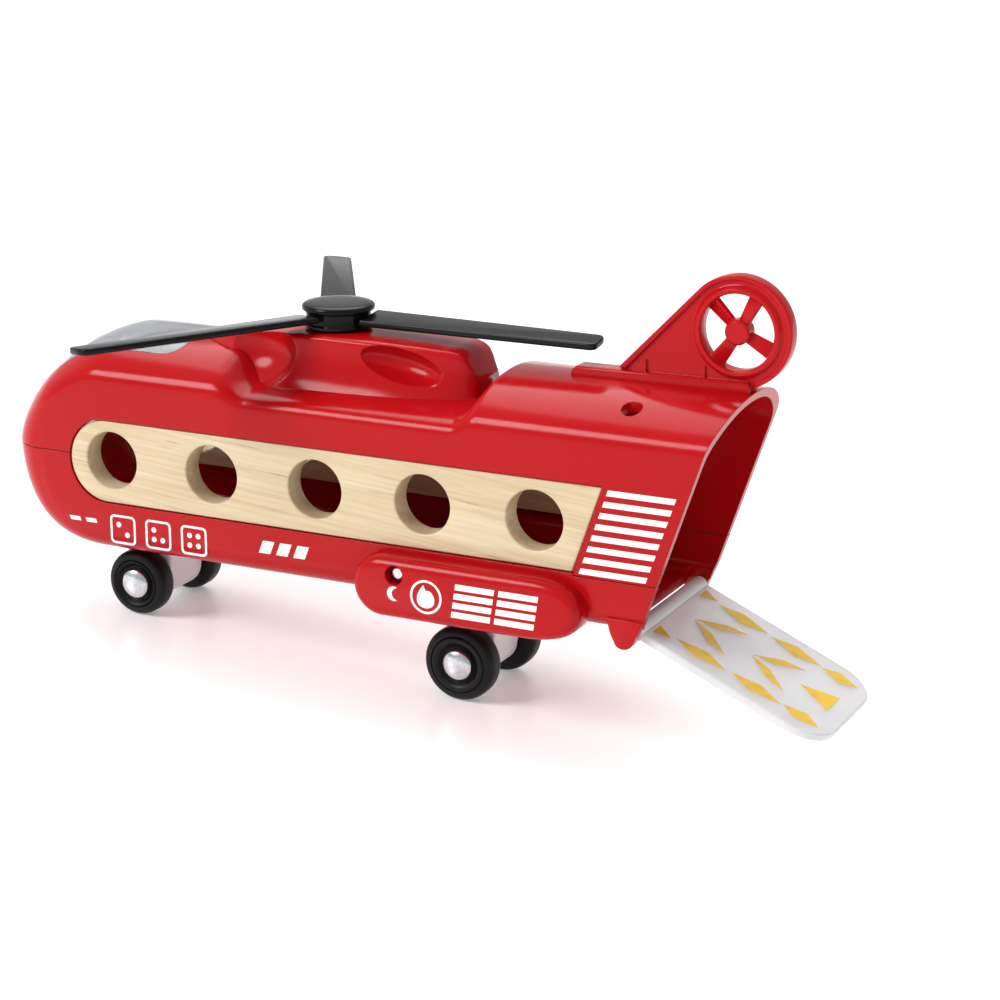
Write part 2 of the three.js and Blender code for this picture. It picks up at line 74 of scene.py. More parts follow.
def make_camera():
    data = bpy.data.cameras.new("camera")
    data.lens = LENS
    data.sensor_width = SENSOR_WIDTH
    data.clip_start = 0.05
    data.clip_end = 50
    camera = bpy.data.objects.new("camera", data)
    bpy.context.scene.collection.objects.link(camera)
    back = CAMERA_RIGHT.cross(CAMERA_UP)
    axes = Matrix((CAMERA_RIGHT, CAMERA_UP, back)).transposed().to_4x4()
    camera.matrix_world = (
        HULL @ Matrix.Translation(CAMERA_AT * MM) @ axes @ Matrix.Rotation(CAMERA_ROLL, 4, "Z")
    )
    bpy.context.scene.camera = camera


make_camera()


# ---------------------------------------------------------------- materials


def srgb(red, green, blue):
    """An sRGB colour given in 0..255 as linear RGBA."""
    def linear(value):
        value /= 255
        return value / 12.92 if value <= 0.04045 else ((value + 0.055) / 1.055) ** 2.4
    return (linear(red), linear(green), linear(blue), 1.0)


class Finish:
    """A Principled material built up node by node."""

    def __init__(self, name, roughness, **sockets):
        self.material = bpy.data.materials.new(name)
        self.material.use_nodes = True
        self.nodes = self.material.node_tree.nodes
        self.links = self.material.node_tree.links
        self.shader = self.nodes["Principled BSDF"]
        self.shader.inputs["Roughness"].default_value = roughness
        for label, value in sockets.items():
            self.shader.inputs[label.replace("_", " ")].default_value = value
        self.place = self.nodes.new("ShaderNodeTexCoord").outputs["Object"]

    def noise(self, scale, stretch=(1, 1, 1), detail=3, rough=0.5):
        mapping = self.nodes.new("ShaderNodeMapping")
        mapping.inputs["Scale"].default_value = stretch
        self.links.new(self.place, mapping.inputs["Vector"])
        noise = self.nodes.new("ShaderNodeTexNoise")
        noise.inputs["Scale"].default_value = scale
        noise.inputs["Detail"].default_value = detail
        noise.inputs["Roughness"].default_value = rough
        self.links.new(mapping.outputs["Vector"], noise.inputs["Vector"])
        return noise.outputs["Fac"]

    def ramp(self, value, stops):
        ramp = self.nodes.new("ShaderNodeValToRGB")
        elements = ramp.color_ramp.elements
        while len(elements) < len(stops):
            elements.new(0.5)
        for element, (position, color) in zip(elements, stops):
            element.position = position
            element.color = color
        self.links.new(value, ramp.inputs["Fac"])
        return ramp.outputs["Color"]

    def spread(self, value, low, high):
        spread = self.nodes.new("ShaderNodeMapRange")
        spread.inputs["To Min"].default_value = low
        spread.inputs["To Max"].default_value = high
        self.links.new(value, spread.inputs["Value"])
        return spread.outputs["Result"]

    def color(self, output):
        self.links.new(output, self.shader.inputs["Base Color"])

    def roughness(self, output):
        self.links.new(output, self.shader.inputs["Roughness"])

    def bump(self, value, strength, distance, soft_edge=None):
        bump = self.nodes.new("ShaderNodeBump")
        bump.inputs["Strength"].default_value = strength
        bump.inputs["Distance"].default_value = distance
        self.links.new(value, bump.inputs["Height"])
        if soft_edge:
            bevel = self.nodes.new("ShaderNodeBevel")
            bevel.samples = 4
            bevel.inputs["Radius"].default_value = soft_edge
            self.links.new(bevel.outputs["Normal"], bump.inputs["Normal"])
        self.links.new(bump.outputs["Normal"], self.shader.inputs["Normal"])


def moulded(name, dark, light, roughness, soft_edge=0.0005, **sockets):
    """Moulded plastic: faint flow marks in the colour, fine orange peel in the gloss."""
    finish = Finish(name, roughness, **sockets)
    flow = finish.noise(18, (0.6, 1, 1), 2)
    finish.color(finish.ramp(flow, [(0.3, dark), (0.7, light)]))
    peel = finish.noise(420, detail=2)
    finish.roughness(finish.spread(peel, roughness * 0.85, roughness * 1.2))
    finish.bump(peel, 0.05, 0.00006, soft_edge)
    return finish.material


def maple():
    """Pale maple with fine grain along the panel, faint growth bands and short dark flecks."""
    finish = Finish("maple", 0.42, Coat_Weight=0.25, Coat_Roughness=0.3)
    bands = finish.noise(16, (0.35, 1, 3.2), 4, 0.6)
    tone = finish.ramp(bands, [
        (0.28, srgb(198, 176, 140)), (0.5, srgb(210, 192, 158)), (0.74, srgb(218, 203, 172)),
    ])
    fibre = finish.noise(240, (0.05, 1, 2.4), 5, 0.65)
    streak = finish.ramp(fibre, [(0.3, srgb(214, 196, 170)), (0.62, srgb(255, 255, 255))])
    fleck = finish.noise(620, (0.07, 1, 1.6), 2)
    spots = finish.ramp(fleck, [(0.24, srgb(190, 160, 118)), (0.36, srgb(255, 255, 255))])
    color = tone
    for layer in (streak, spots):
        mix = finish.nodes.new("ShaderNodeMix")
        mix.data_type = "RGBA"
        mix.blend_type = "MULTIPLY"
        mix.inputs["Factor"].default_value = 0.6
        finish.links.new(color, mix.inputs["A"])
        finish.links.new(layer, mix.inputs["B"])
        color = mix.outputs["Result"]
    finish.color(color)
    finish.roughness(finish.spread(fibre, 0.34, 0.52))
    finish.bump(fibre, 0.25, 0.00012, 0.0004)
    return finish.material


def steel():
    finish = Finish("steel", 0.2, Metallic=1.0)
    grain = finish.noise(900, (1, 0.08, 1), 3)
    finish.color(finish.ramp(grain, [(0.2, srgb(176, 178, 182)), (0.8, srgb(222, 223, 226))]))
    finish.roughness(finish.spread(grain, 0.14, 0.3))
    finish.bump(grain, 0.08, 0.00005)
    return finish.material


def rubber():
    finish = Finish("tyre_rubber", 0.5, Specular_IOR_Level=0.2)
    grain = finish.noise(700, detail=4)
    finish.color(finish.ramp(grain, [(0.3, srgb(11, 11, 12)), (0.8, srgb(20, 20, 22))]))
    finish.roughness(finish.spread(grain, 0.34, 0.55))
    finish.bump(grain, 0.2, 0.0001)
    return finish.material


def clear_plastic():
    finish = Finish("clear_plastic", 0.06, Transmission_Weight=0.85, IOR=1.46)
    haze = finish.noise(60, detail=3)
    finish.color(finish.ramp(haze, [(0.2, srgb(205, 209, 214)), (0.8, srgb(226, 229, 233))]))
    finish.roughness(finish.spread(haze, 0.04, 0.1))
    return finish.material


def frosted_plastic():
    """Milky translucent sheet with cloudy thickness variation."""
    finish = Finish(
        "ramp_plastic", 0.22, Transmission_Weight=0.35, IOR=1.46, Subsurface_Weight=0.25,
        Subsurface_Scale=0.002,
    )
    cloud = finish.noise(45, detail=3)
    finish.color(finish.ramp(cloud, [(0.2, srgb(238, 239, 243)), (0.8, srgb(250, 250, 251))]))
    finish.roughness(finish.spread(cloud, 0.16, 0.3))
    return finish.material


def printed(name, dark, light):
    """Flat printed ink with slightly uneven coverage."""
    finish = Finish(name, 0.35)
    cover = finish.noise(260, detail=4)
    finish.color(finish.ramp(cover, [(0.25, dark), (0.6, light)]))
    finish.roughness(finish.spread(cover, 0.3, 0.42))
    return finish.material


RED = moulded("red_plastic", srgb(168, 10, 16), srgb(178, 14, 21), 0.16, Specular_IOR_Level=0.17)
BLACK = moulded("black_plastic", srgb(7, 8, 9), srgb(12, 13, 15), 0.18, Specular_IOR_Level=0.18)
GREY = moulded("grey_plastic", srgb(222, 223, 228), srgb(232, 233, 237), 0.35)
WOOD = maple()
STEEL = steel()
RUBBER = rubber()
CLEAR = clear_plastic()
FROSTED = frosted_plastic()
WHITE_INK = printed("white_ink", srgb(232, 230, 228), srgb(248, 247, 246))
YELLOW_INK = printed("yellow_ink", srgb(226, 178, 34), srgb(240, 196, 52))


# ---------------------------------------------------------------- mesh helpers


def add_object(name, data):
    thing = bpy.data.objects.new(name, data)
    bpy.context.scene.collection.objects.link(thing)
    return thing


def clean(data):
    """Merges doubled vertices and turns every face outward."""
    mesh = bmesh.new()
    mesh.from_mesh(data)
    bmesh.ops.remove_doubles(mesh, verts=mesh.verts, dist=1e-4)
    bmesh.ops.recalc_face_normals(mesh, faces=mesh.faces)
    mesh.to_mesh(data)
    mesh.free()


def mesh_object(name, vertices, faces):
    data = bpy.data.meshes.new(name)
    data.from_pydata([tuple(v) for v in vertices], [], faces)
    clean(data)
    return add_object(name, data)


def loft(name, rings):
    """A closed skin through rings of equally many points."""
    count = len(rings[0])
    vertices = [point for ring in rings for point in ring]
    faces = []
    for ring in range(len(rings) - 1):
        for i in range(count):
            a, b = ring * count + i, ring * count + (i + 1) % count
            faces.append((a, a + count, b + count, b))
    faces.append(tuple(range(count)))
    faces.append(tuple(range(len(vertices) - 1, len(vertices) - 1 - count, -1)))
    return mesh_object(name, vertices, faces)


def turned(name, profile, axis="Y", at=(0, 0, 0), segments=96, flip=False):
    """A closed (radius, height) profile turned about an axis through at."""
    rings = []
    for step in range(segments):
        angle = math.tau * step / segments
        c, s = math.cos(angle), math.sin(angle)
        ring = []
        for radius, height in profile:
            height = -height if flip else height
            if axis == "Y":
                ring.append(Vector((radius * c, height, radius * s)) + Vector(at))
            else:
                ring.append(Vector((radius * c, radius * s, height)) + Vector(at))
        rings.append(ring)
    count = len(profile)
    faces = []
    for ring in range(segments):
        for i in range(count):
            here, there = ring * count, (ring + 1) % segments * count
            ahead = (i + 1) % count
            faces.append((here + i, here + ahead, there + ahead, there + i))
    thing = mesh_object(name, [p for ring in rings for p in ring], faces)
    drop_loose_caps(thing)
    return thing


def drop_loose_caps(thing):
    """Removes the zero-area faces that a profile lying on its axis leaves."""
    mesh = bmesh.new()
    mesh.from_mesh(thing.data)
    bmesh.ops.dissolve_degenerate(mesh, dist=1e-5, edges=mesh.edges)
    mesh.to_mesh(thing.data)
    mesh.free()


def settle(thing):
    """Applies the modifiers, and turns a curve into a mesh."""
    graph = bpy.context.evaluated_depsgraph_get()
    graph.update()
    mesh = bpy.data.meshes.new_from_object(thing.evaluated_get(graph))
    if thing.type == "MESH":
        thing.modifiers.clear()
        thing.data = mesh
        return thing
    name = thing.name
    mesh.transform(thing.matrix_world)
    bpy.data.objects.remove(thing)
    return add_object(name, mesh)


def combine(operation, target, *tools):
    """A boolean of the target with each tool in turn. The tools are used up."""
    for tool in tools:
        modifier = target.modifiers.new("combine", "BOOLEAN")
        modifier.operation = operation
        modifier.solver = "EXACT"
        modifier.object = tool
    settle(target)
    for tool in tools:
        bpy.data.objects.remove(tool)
    return target


def copy_of(thing):
    return add_object(thing.name, thing.data.copy())


def box(x0, x1, y0, y1, z0, z1):
    corners = [(x, y, z) for x in (x0, x1) for y in (y0, y1) for z in (z0, z1)]
    faces = [(0, 1, 3, 2), (4, 6, 7, 5), (0, 4, 5, 1), (2, 3, 7, 6), (0, 2, 6, 4), (1, 5, 7, 3)]
    return mesh_object("box", corners, faces)


def arc(x, z, radius, start, end, steps):
    """Points around (x, z) from one angle to another, both in radians."""
    return [
        (x + radius * math.cos(start + (end - start) * i / steps),
         z + radius * math.sin(start + (end - start) * i / steps))
        for i in range(steps + 1)
    ]


def circle(x, z, radius, steps=64):
    return arc(x, z, radius, 0, math.tau, steps)[:-1]


def slab(name, outlines, middle, thickness, edge=0.0, matrix=None):
    """Closed (x, z) outlines, the later ones holes, given a thickness across y and a rounded edge."""
    curve = bpy.data.curves.new(name, "CURVE")
    curve.dimensions = "2D"
    curve.fill_mode = "BOTH"
    curve.extrude = thickness / 2 - edge
    curve.bevel_depth = edge
    curve.bevel_resolution = 3
    curve.offset = -edge
    for outline in outlines:
        spline = curve.splines.new("POLY")
        spline.points.add(len(outline) - 1)
        for point, (x, z) in zip(spline.points, outline):
            point.co = (x, z, 0, 1)
        spline.use_cyclic_u = True
    thing = add_object(name, curve)
    upright = Matrix.Translation((0, middle, 0)) @ Matrix.Rotation(math.pi / 2, 4, "X")
    thing.matrix_world = (matrix or Matrix.Identity(4)) @ upright
    bpy.context.view_layer.update()
    thing = settle(thing)
    clean(thing.data)
    return thing


def finished(thing, material, body, replaces=(), sharp=32):
    """Carries a piece into the row frame, smooths it, and hangs it on its body."""
    thing.data.transform(HULL_MM)
    thing.data.materials.clear()
    thing.data.materials.append(material)
    for polygon in thing.data.polygons:
        polygon.use_smooth = True
    thing.data.set_sharp_from_angle(angle=math.radians(sharp))
    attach(thing, body)
    if replaces:
        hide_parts(*replaces)
    return thing


# ---------------------------------------------------------------- hull

HALF_WIDTH, BOTTOM, WALL = 33.5, -35, 3
CORNER_RADIUS, SHOULDER_RADIUS = 9, 4
SHOULDER, CROWN, DECK_SHOULDER, DECK_CROWN = 31.7, 43.5, 28.5, 33
DECK_FRONT, DECK_REAR = (42, 56), (136, 146)
NOSE_START, NOSE_TIP, SIDE_TIP, NOSE_CENTRE = -6, -50, -30, 2
ACROSS_POWER, ALONG_POWER, OVER_POWER, UNDER_POWER = 2.7, 2.2, 1.63, 2.4
REAR_X, REAR_SLOPE = 217.9, 0.343
SEAM = 0.3
PARTING_FRONT_Z, PARTING_STEP_X, PARTING_REAR_Z = 1, 182.5, -17
MAST_BORE, PIN_BORE = 5.3, 1.5
ROOF_SCREW_X, ROOF_SCREW_Y = 198, 22
POD_SCREW_X, POD_SCREW_Z = 119, -24


def smooth_between(x, low, high):
    """0 up to low, 1 from high on, and an even S curve in between."""
    t = min(1, max(0, (x - low) / (high - low)))
    return t * t * (3 - 2 * t)


def quadratic(a, b, c, steps):
    """Points on the curve from a to c that is pulled towards b."""
    points = []
    for i in range(steps + 1):
        t = i / steps
        points.append(tuple(
            (1 - t) ** 2 * p + 2 * t * (1 - t) * q + t * t * r for p, q, r in zip(a, b, c)
        ))
    return points


def half_section(x, inset):
    """Half of the hull's outline at x as (y, z), from the keel round to the roof's middle."""
    lowered = smooth_between(x, *DECK_FRONT) - smooth_between(x, *DECK_REAR)
    width = HALF_WIDTH - inset
    bottom = BOTTOM + inset
    shoulder = SHOULDER + (DECK_SHOULDER - SHOULDER) * lowered - inset
    crown = CROWN + (DECK_CROWN - CROWN) * lowered - inset
    side_top = shoulder - SHOULDER_RADIUS
    corner = CORNER_RADIUS - inset
    points = [(y, bottom) for y in (0, width * 0.3)]
    for i in range(11):
        angle = math.pi / 2 * i / 10
        points.append((
            width - corner + corner * math.sin(angle), bottom + corner - corner * math.cos(angle),
        ))
    points += [
        (width, bottom + corner + (side_top - bottom - corner) * k / 6) for k in range(1, 6)
    ]
    edge = Vector((width, shoulder))
    pull = Vector((width * 0.55, crown))
    leave = edge + (pull - edge).normalized() * SHOULDER_RADIUS
    points += quadratic((width, side_top), edge, leave, 8)
    points += quadratic(leave, pull, (0, crown), 14)[1:]
    return points


def hull_ring(x, inset):
    """The nose is round seen from the side at every y, and reaches less far at its side faces."""
    ahead = max(0, NOSE_START - x)
    side_reach = NOSE_START - SIDE_TIP - inset
    extra = SIDE_TIP - NOSE_TIP
    narrowing = (1 - (max(0, ahead - side_reach) / extra) ** ALONG_POWER) ** (1 / ACROSS_POWER)
    half = []
    for full_y, z in half_section(x, inset):
        y = full_y * narrowing
        outward = min(1, y / (HALF_WIDTH - inset))
        reach = side_reach + extra * (1 - outward ** ACROSS_POWER) ** (1 / ALONG_POWER)
        power = OVER_POWER if z > NOSE_CENTRE else UNDER_POWER
        height = (1 - min(1, ahead / reach) ** power) ** (1 / power)
        half.append((y, NOSE_CENTRE + (z - NOSE_CENTRE) * height))
    mirrored = [(-y, z) for y, z in reversed(half[1:-1])]
    return [(x, y, z) for y, z in half + mirrored]


def hull(inset):
    """The hull's solid shape, running on past the tail, shrunk by inset."""
    reach = NOSE_START - NOSE_TIP - inset
    steps = 40
    stations = [
        NOSE_START - reach * math.cos(math.pi / 2 * (i + 0.12) / steps) for i in range(steps)
    ]
    stations += [NOSE_START, 10, 28]
    for start, end in (DECK_FRONT, DECK_REAR):
        stations += [start + (end - start) * i / 12 for i in range(13)]
    stations += [190, 260]
    return loft("hull", [hull_ring(x, inset) for x in stations])


def rear_edge(z):
    """Where the tail's slanted edge is at height z."""
    return REAR_X + REAR_SLOPE * z


def behind():
    """All behind the tail's slanted edge."""
    return slab(
        "behind", [[(rear_edge(-70), -70), (320, -70), (320, 90), (rear_edge(90), 90)]], 0, 160,
    )


PANEL_TOP, PANEL_BOTTOM, PANEL_FRONT = 14.5, -15.85, -2.4


def panel_outline(margin=0.0):
    middle, radius = (PANEL_TOP + PANEL_BOTTOM) / 2, (PANEL_TOP - PANEL_BOTTOM) / 2
    outline = arc(PANEL_FRONT, middle, radius + margin, math.pi / 2, math.pi * 1.5, 40)
    return outline + [(181.9 + margin, PANEL_BOTTOM - margin), (192.6 + margin, PANEL_TOP + margin)]


def panel_opening(side):
    return slab("opening", [panel_outline(0.35)], side * 32, 8)


def screen_block(margin):
    """The windscreen's strip over the nose, with rounded rear corners, as a tall solid."""
    half, rear, radius = 23 - margin, 22.5 - margin, 7 - margin
    outline = [(-80, -half)]
    outline += arc(rear - radius, radius - half, radius, -math.pi / 2, 0, 10)
    outline += arc(rear - radius, half - radius, radius, 0, math.pi / 2, 10)
    outline += [(-80, half)]
    rings = [[(x, y, z) for x, y in outline] for z in (-8 + margin, 80)]
    return loft("screen", rings)


def cylinder(radius, x, y, z0, z1):
    """An upright cylinder."""
    rings = [[(x + a, y + b, z) for a, b in circle(0, 0, radius, 48)] for z in (z0, z1)]
    return loft("cylinder", rings)


def rod(radius, x, z, y0, y1):
    """A cylinder lying across the hull."""
    rings = [[(x + a, y, z + b) for a, b in circle(0, 0, radius, 48)] for y in (y0, y1)]
    return loft("rod", rings)


def below_parting(margin):
    """All below the line where the shells meet: level along the panels, lower behind them."""
    front, step, rear = (
        value + margin for value in (PARTING_FRONT_Z, PARTING_STEP_X, PARTING_REAR_Z)
    )
    line = [(-80, front), (step, front), (step, rear), (320, rear)]
    return slab("below", [line + [(320, -80), (-80, -80)]], 0, 120)


def make_shells():
    outer = combine("DIFFERENCE", hull(0), behind())
    skin = combine("DIFFERENCE", outer, hull(WALL))
    screen = combine("INTERSECT", copy_of(skin), screen_block(0.3))
    screen.name = "clear_windscreen"
    opened = combine("DIFFERENCE", skin, screen_block(0), panel_opening(-1), panel_opening(1))
    upper = combine("DIFFERENCE", copy_of(opened), below_parting(SEAM / 2))
    screw_places = [(ROOF_SCREW_X, side * ROOF_SCREW_Y) for side in SIDES.values()]
    bosses = [cylinder(5.5, *place, 20, 33.4) for place in screw_places]
    upper = combine("UNION", upper, *bosses)
    upper = combine(
        "DIFFERENCE", upper, cylinder(MAST_BORE, ROTOR_X, 0, 10, 60),
        *[cylinder(3.5, *place, 33, 60) for place in screw_places],
        *[cylinder(1.5, *place, 18, 34) for place in screw_places],
    )
    upper.name = "roof_shell"
    lower = combine("INTERSECT", opened, below_parting(-SEAM / 2))
    ears = [slab("ear", [ear_outline()], side * 31.35, 4.3, 0.5) for side in SIDES.values()]
    lower = combine("UNION", lower, *ears, box(30, 100, -20, 20, -36.2, -34))
    lower = combine(
        "DIFFERENCE", lower, box(198.5, 240, -29.2, 29.2, -60, -29),
        rod(PIN_BORE, RAMP_HINGE.x, RAMP_HINGE.z, -32.6, 32.6),
        rod(1.5, POD_SCREW_X, POD_SCREW_Z, -60, 60),
    )
    lower.name = "belly_shell"
    finished(upper, RED, "airframe", ["upper_shell"])
    finished(lower, RED, "airframe", ["lower_shell"])
    finished(screen, CLEAR, "airframe", ["windscreen"])


def ear_outline():
    """The hinge leg: a short tongue under the tail's slanted edge, rounded at its foot."""
    foot_x, foot_z, radius = 200.6, -36.5, 3.8
    foot = arc(foot_x, foot_z, radius, -2.4, -0.33, 12)
    return [(194.5, -30), (195.8, -35)] + foot + [(rear_edge(-30) - 0.1, -30)]


WINDOWS = [42 * i for i in range(5)]


def make_side_panels():
    for label, side in SIDES.items():
        outlines = [panel_outline()] + [circle(x, 0, 10.5) for x in WINDOWS]
        panel = slab(f"{label}_wood_panel", outlines, side * 28.7, 9, 0.7)
        finished(panel, WOOD, "airframe", [f"{label}_side_panel"], 40)


# ---------------------------------------------------------------- pylon and rotor

# x, ridge height, ridge half width, foot half width
PYLON = [
    (20, 43, 5, 12), (34, 45.6, 12, 24), (48, 47.8, 16, 27), (62, 49.4, 17, 26), (76, 50, 16.5, 25),
    (90, 49.8, 16, 24), (104, 49.4, 15, 23), (120, 48.6, 13, 20), (130, 46.8, 11, 17),
    (135, 39, 8, 14),
]
PYLON_BASE = 25
# The hollows in each flank: centre, radii, lean
SCOOPS = [((53.5, 30, 44), (21, 18.5, 15), -0.05), ((110, 20, 42.5), (18, 11, 6.5), 0.2)]


def pylon_station(x):
    """Ridge height, ridge half width and foot half width at x, on a smooth curve through PYLON."""
    index = max(i for i in range(len(PYLON) - 1) if PYLON[i][0] <= x or i == 0)
    low, high = PYLON[index], PYLON[index + 1]
    before, after = PYLON[max(index - 1, 0)], PYLON[min(index + 2, len(PYLON) - 1)]
    span = high[0] - low[0]
    t = (x - low[0]) / span
    values = []
    for k in (1, 2, 3):
        into = (high[k] - before[k]) / (high[0] - before[0]) * span
        out = (after[k] - low[k]) / (after[0] - low[0]) * span
        values.append(
            (2 * t ** 3 - 3 * t ** 2 + 1) * low[k] + (t ** 3 - 2 * t ** 2 + t) * into
            + (3 * t ** 2 - 2 * t ** 3) * high[k] + (t ** 3 - t ** 2) * out
        )
    return values


def pylon_ring(x):
    ridge, half, foot = pylon_station(x)
    flank = quadratic(
        (foot, PYLON_BASE + 3), (half + (foot - half) * 0.15, PYLON_BASE + 6), (half, ridge - 2), 12,
    )
    cap = quadratic((half, ridge - 2), (half, ridge - 0.3), (half - 2 * min(1, half / 6), ridge), 6)
    right = [(foot, PYLON_BASE)] + flank + cap[1:]
    left = [(-y, z) for y, z in reversed(right)]
    return [(x, y, z) for y, z in right + left]


def ball(at, radii, lean):
    """An ellipsoid, turned by lean about the axis across the hull."""
    mesh = bmesh.new()
    bmesh.ops.create_uvsphere(mesh, u_segments=48, v_segments=24, radius=1)
    data = bpy.data.meshes.new("ball")
    mesh.to_mesh(data)
    mesh.free()
    data.transform(
        Matrix.Translation(at) @ Matrix.Rotation(lean, 4, "Y") @ Matrix.Diagonal((*radii, 1))
    )
    return add_object("ball", data)


def make_pylon():
    first, last = PYLON[0][0], PYLON[-1][0]
    steps = 76
    pylon = loft("pylon", [pylon_ring(first + (last - first) * i / steps) for i in range(steps + 1)])
    scoops = [
        ball((x, side * y, z), radii, lean)
        for side in SIDES.values() for (x, y, z), radii, lean in SCOOPS
    ]
    pylon = combine("DIFFERENCE", pylon, *scoops, cylinder(MAST_BORE, ROTOR_X, 0, 10, 60))
    pylon.name = "mast_pylon"
    finished(pylon, RED, "airframe", ["rotor_pylon"], 50)


BLADES = 3
BLADE_PITCH = math.radians(6)


def make_rotor():
    hub = turned("hub", [
        (0, 53), (2.8, 53), (2.8, 50.3), (11.4, 50.3), (12, 50.7), (12, 51.6), (11.6, 52),
        (11.5, 52.4), (11.5, 56), (11.8, 56.3), (12.3, 56.4), (12.9, 56.9),
        (12.9, 57.9), (12.6, 58.4), (11.8, 58.8), (9, 59.05), (4, 59.2), (0, 59.2),
    ], "Z", (ROTOR_X, 0, 0))
    finished(hub, BLACK, "rotor", ["rotor_hub"], 40)
    outline = [(11.9, -6.75), (98, -5.5)]
    outline += quadratic((98, -5.5), (101, -5.5), (101, -3), 6)[1:]
    outline += quadratic((101, 0), (101, 5.5), (97.5, 5.5), 8)
    outline += [(11.9, 6.75)]
    for index in range(BLADES):
        turn = (
            Matrix.Translation((ROTOR_X, 0, BLADE_Z))
            @ Matrix.Rotation(math.tau * index / BLADES, 4, "Z")
            @ Matrix.Rotation(BLADE_PITCH, 4, "X")
            @ Matrix.Rotation(-math.pi / 2, 4, "X")
        )
        blade = slab(f"blade_{index + 1}", [outline], 0, 2.4, 0.7, turn)
        finished(blade, BLACK, "rotor", [f"rotor_blade_{index + 1}"], 40)


# ---------------------------------------------------------------- tail

TAIL_X, TAIL_Z, TAIL_OUTER, TAIL_INNER = 226.3, 63.2, 19, 12.8
SPOKE_DEGREES = (63, 136, 234, 333)
SPOKE_PITCH = -0.45


def fin_outline(inset):
    """The fin and the outside of its ring, shrunk by inset."""
    ring = arc(TAIL_X, TAIL_Z, TAIL_OUTER - inset, math.pi * 0.75, -math.pi * 0.38, 60)
    return [(184.5 + 1.6 * inset, 42), (184.5 + 1.4 * inset, 47.5 - 0.4 * inset)] + ring + [(231, 42)]


def make_tail_fin():
    plate = slab("fin", [fin_outline(0.3), circle(TAIL_X, TAIL_Z, TAIL_INNER + 0.5)], 0, 3.4, 0.3)
    rim_path = fin_outline(0)[1:-1]
    rim = slab("rim", [rim_path + fin_outline(1.7)[1:-1][::-1]], 0, 5.4, 0.5)
    band = turned("band", [
        (12.8, -2.5), (13.2, -3), (14.4, -3), (15.2, -2.2), (15.8, -1.5), (15.8, 1.5), (15.2, 2.2),
        (14.4, 3), (13.2, 3), (12.8, 2.5),
    ], "Y", (TAIL_X, 0, TAIL_Z))
    rail = slab("rail", [[
        (167, 42), (167.6, 45), (169.4, 46.4), (231, 47), (231.4, 46), (231.4, 42),
    ]], 0, 8, 0.8)
    hub = turned("tail_hub", [
        (0, -3), (3.7, -3), (4.3, -2.4), (4.3, 2.4), (3.7, 3), (0, 3),
    ], "Y", (TAIL_X, 0, TAIL_Z), 64)
    parts = [rim, band, rail, hub]
    for degrees in SPOKE_DEGREES:
        turn = (
            Matrix.Translation((TAIL_X, 0, TAIL_Z))
            @ Matrix.Rotation(-math.radians(degrees), 4, "Y")
            @ Matrix.Rotation(SPOKE_PITCH, 4, "X")
        )
        spoke = slab("spoke", [[(3, -2), (13.6, -2.9), (13.6, 2.9), (3, 2)]], 0, 1.8, 0.4, turn)
        parts.append(spoke)
    for x in (194, 215):
        rib = [(x - 0.5, 44), (x + 0.5, 44), (x + 0.5, 51), (x - 0.5, 50)]
        parts.append(slab("rib", [rib], 0, 5.2, 0.2))
    fin = joined("tail_fin_and_ring", [plate] + parts)
    finished(fin, RED, "airframe", ["tail_fin"], 40)


def joined(name, things):
    """Several closed meshes as one object."""
    merged = bmesh.new()
    for thing in things:
        merged.from_mesh(thing.data)
        bpy.data.objects.remove(thing)
    mesh = bpy.data.meshes.new(name)
    merged.to_mesh(mesh)
    merged.free()
    return add_object(name, mesh)


# ---------------------------------------------------------------- sponsons

SPONSON_OUTER, SPONSON_INNER = 41, 26


def sponson_outline():
    front = arc(113, -29, 11, math.pi / 2, math.pi * 1.5, 32)
    rear = quadratic((165.5, -40), (187.5, -40), (187.5, -29), 14)
    rear += quadratic((187.5, -29), (187.5, -18), (169.5, -18), 14)[1:]
    return front + rear


def make_sponsons():
    for label, side in SIDES.items():
        thickness = SPONSON_OUTER - SPONSON_INNER
        middle = side * (SPONSON_OUTER + SPONSON_INNER) / 2
        pod = slab("pod", [sponson_outline()], middle, thickness, 4)
        recess = rod(3.4, POD_SCREW_X, POD_SCREW_Z, *sorted((side * 36, side * 60)))
        pod = combine("DIFFERENCE", pod, recess)
        pod.name = f"{label}_side_pod"
        finished(pod, RED, "airframe", [f"{label}_sponson"], 40)


# ---------------------------------------------------------------- wheels

WHEEL_INNER, WHEEL_OUTER = 12, 21.5
WHEELS = {"front": (FRONT_AXLE, 12.2), "rear": (REAR_AXLE, 13.45)}

def make_wheels():
    for label, (axle, radius) in WHEELS.items():
        body = f"{label}_wheels"
        for hand, side in SIDES.items():
            tyre = turned(f"{label}_{hand}_tyre_skin", tyre_profile(radius), "Y", axle, 96, side < 0)
            finished(tyre, RUBBER, body, [f"{label}_{hand}_tyre"], 40)
            cap = turned(f"{label}_{hand}_cap_skin", cap_profile(), "Y", axle, 64, side < 0)
            finished(cap, STEEL, body, [f"{label}_{hand}_cap"], 40)


def tyre_profile(radius):
    """(radius, distance from the hull's middle) round a tyre's section."""
    inner, outer, bore = WHEEL_INNER, WHEEL_OUTER, 2.3
    shoulder = quadratic((radius, outer - 3.6), (radius, outer - 0.5), (radius - 3, outer - 0.3), 10)
    back = quadratic((radius - 3, inner), (radius, inner + 0.2), (radius, inner + 3.6), 8)
    bead = quadratic((radius - 3.3, outer - 0.7), (radius - 4, outer + 0.5), (8.2, outer - 0.2), 8)
    recess = quadratic((7.6, outer - 0.6), (6.8, outer - 1.9), (5.9, outer - 2), 6)
    return [(bore, inner)] + back + shoulder + bead + recess + [(bore, outer - 2)]


